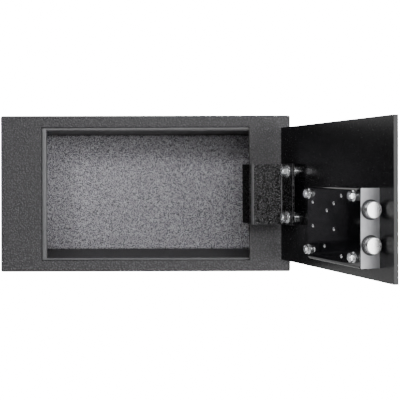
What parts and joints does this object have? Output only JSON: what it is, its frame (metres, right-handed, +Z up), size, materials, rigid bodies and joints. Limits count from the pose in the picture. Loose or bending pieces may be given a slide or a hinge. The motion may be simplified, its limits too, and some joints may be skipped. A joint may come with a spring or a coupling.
{
  "type": "wall safe",
  "caption": "Flush wall safe with a front flange, felt-backed cavity, gooseneck-hinged steel door, electronic keypad, turn knob and sliding locking bolts.",
  "frame": {"origin": "on the back panel's outer face, on the centreline of the flange", "axes": "+X right seen from the front, +Y into the wall, +Z up; the front faces -Y"},
  "size_m": [0.5295, 0.4654, 0.234],
  "materials": {
    "flange_paint": "charcoal powder coat, fine orange peel, semi-matt",
    "stop_paint": "grey powder coat, satin",
    "shell_paint": "black powder coat, fine texture",
    "felt": "needle-punched speckled grey felt",
    "door_paint": "near-black powder coat, semi-gloss, fine orange peel",
    "arm_paint": "charcoal wrinkle powder coat",
    "zinc": "bright zinc plate",
    "zinc_plate": "zinc-plated pressed steel",
    "bronze": "sintered bronze",
    "brass": "turned brass",
    "cover_paint": "gloss black coat",
    "bolt_chrome": "polished chrome plate",
    "black_plastic": "moulded black, fine spark texture",
    "knob_plastic": "moulded black, satin",
    "coil_tape": "amber winding tape",
    "board": "green solder mask",
    "battery_sleeve": "plain printed sleeve",
    "led": "tinted clear lens",
    "red_wire": "PVC sleeve",
    "rubber": "matt black",
    "spring_steel": "drawn wire",
    "key_plastic": "moulded light grey, satin"
  },
  "bodies": {
    "safe_body": {"front_flange": "flange_paint", "stop_frame": "stop_paint", "body_shell": "shell_paint", "back_panel": "shell_paint", "back_carpet": "felt", "hinge_lug_upper": "shell_paint", "hinge_lug_lower": "shell_paint", "hinge_pin": "zinc", "hinge_pin_clips": "zinc"},
    "door": {"door_plate": "door_paint", "hinge_arm": "arm_paint", "hinge_bushes": "bronze", "hinge_studs": "zinc", "hinge_spacers": "zinc", "hinge_washers": "zinc", "hinge_nuts": "zinc", "lock_chassis": "zinc_plate", "lock_cover": "cover_paint", "cover_studs": "zinc", "cover_nuts": "zinc", "cover_rivets": "zinc", "bolt_guides": "black_plastic", "solenoid_frame": "zinc_plate", "solenoid_coil": "coil_tape", "keypad_housing": "black_plastic", "keypad_circuit_board": "board", "batteries": "battery_sleeve", "battery_contacts": "zinc", "led_lenses": "led", "lead_wire": "red_wire", "wire_grommet": "rubber", "housing_screws": "zinc", "lock_cylinder": "brass", "knob_bush": "bronze"},
    "bolts": {"bolt_upper": "bolt_chrome", "bolt_lower": "bolt_chrome", "bolt_carrier": "zinc_plate", "carrier_screws": "zinc"},
    "knob_set": {"knob": "knob_plastic", "knob_spindle": "zinc", "bolt_cam": "zinc_plate"},
    "plunger": {"solenoid_plunger": "zinc_plate", "plunger_spring": "spring_steel"},
    "battery_door": {"battery_cover": "black_plastic"},
    "override_plug": {"key_plug": "brass"},
    "override_cover": {"plug_cover": "black_plastic"},
    "button_1": {"key_1": "key_plastic"},
    "button_2": {"key_2": "key_plastic"},
    "button_3": {"key_3": "key_plastic"},
    "button_4": {"key_4": "key_plastic"},
    "button_5": {"key_5": "key_plastic"},
    "button_6": {"key_6": "key_plastic"},
    "button_7": {"key_7": "key_plastic"},
    "button_8": {"key_8": "key_plastic"},
    "button_9": {"key_9": "key_plastic"},
    "button_star": {"key_star": "key_plastic"},
    "button_0": {"key_0": "key_plastic"},
    "button_hash": {"key_hash": "key_plastic"}
  },
  "joints": [
    {"name": "door_hinge", "type": "hinge", "parent": "safe_body", "child": "door", "pos_m": [0.184, -0.1446, 0], "axis": [0, 0, 1], "range_deg": [-107, 4]},
    {"name": "bolt_slide", "type": "slide", "parent": "door", "child": "bolts", "axis": [0.2924, -0.9563, 0], "range_m": [0, 0.028]},
    {"name": "knob_turn", "type": "hinge", "parent": "door", "child": "knob_set", "pos_m": [0.2965, -0.3573, -0.05], "axis": [0.9563, 0.2924, 0], "range_deg": [0, 90]},
    {"name": "plunger_slide", "type": "slide", "parent": "door", "child": "plunger", "axis": [0, 0, 1], "range_m": [0, 0.004], "stiffness_N_per_m": 30, "springref_m": -0.004, "deforming": ["plunger_spring"]},
    {"name": "battery_cover_slide", "type": "slide", "parent": "door", "child": "battery_door", "axis": [0, 0, -1], "range_m": [0, 0.015]},
    {"name": "key_plug_turn", "type": "hinge", "parent": "door", "child": "override_plug", "pos_m": [0.28503, -0.36081, -0.01], "axis": [0.9563, 0.2924, 0], "range_deg": [0, 90]},
    {"name": "plug_cover_pull", "type": "slide", "parent": "door", "child": "override_cover", "axis": [0.9563, 0.2924, 0], "range_m": [0, 0.006]},
    {"name": "key_1_press", "type": "slide", "parent": "door", "child": "button_1", "axis": [-0.9563, -0.2924, 0], "range_m": [0, 0.001], "stiffness_N_per_m": 300, "springref_m": -0.0005},
    {"name": "key_2_press", "type": "slide", "parent": "door", "child": "button_2", "axis": [-0.9563, -0.2924, 0], "range_m": [0, 0.001], "stiffness_N_per_m": 300, "springref_m": -0.0005},
    {"name": "key_3_press", "type": "slide", "parent": "door", "child": "button_3", "axis": [-0.9563, -0.2924, 0], "range_m": [0, 0.001], "stiffness_N_per_m": 300, "springref_m": -0.0005},
    {"name": "key_4_press", "type": "slide", "parent": "door", "child": "button_4", "axis": [-0.9563, -0.2924, 0], "range_m": [0, 0.001], "stiffness_N_per_m": 300, "springref_m": -0.0005},
    {"name": "key_5_press", "type": "slide", "parent": "door", "child": "button_5", "axis": [-0.9563, -0.2924, 0], "range_m": [0, 0.001], "stiffness_N_per_m": 300, "springref_m": -0.0005},
    {"name": "key_6_press", "type": "slide", "parent": "door", "child": "button_6", "axis": [-0.9563, -0.2924, 0], "range_m": [0, 0.001], "stiffness_N_per_m": 300, "springref_m": -0.0005},
    {"name": "key_7_press", "type": "slide", "parent": "door", "child": "button_7", "axis": [-0.9563, -0.2924, 0], "range_m": [0, 0.001], "stiffness_N_per_m": 300, "springref_m": -0.0005},
    {"name": "key_8_press", "type": "slide", "parent": "door", "child": "button_8", "axis": [-0.9563, -0.2924, 0], "range_m": [0, 0.001], "stiffness_N_per_m": 300, "springref_m": -0.0005},
    {"name": "key_9_press", "type": "slide", "parent": "door", "child": "button_9", "axis": [-0.9563, -0.2924, 0], "range_m": [0, 0.001], "stiffness_N_per_m": 300, "springref_m": -0.0005},
    {"name": "key_star_press", "type": "slide", "parent": "door", "child": "button_star", "axis": [-0.9563, -0.2924, 0], "range_m": [0, 0.001], "stiffness_N_per_m": 300, "springref_m": -0.0005},
    {"name": "key_0_press", "type": "slide", "parent": "door", "child": "button_0", "axis": [-0.9563, -0.2924, 0], "range_m": [0, 0.001], "stiffness_N_per_m": 300, "springref_m": -0.0005},
    {"name": "key_hash_press", "type": "slide", "parent": "door", "child": "button_hash", "axis": [-0.9563, -0.2924, 0], "range_m": [0, 0.001], "stiffness_N_per_m": 300, "springref_m": -0.0005}
  ],
  "couplings": [
    {"joint": "knob_turn", "follows": "bolt_slide", "rad_per_m": 56.1}
  ]
}
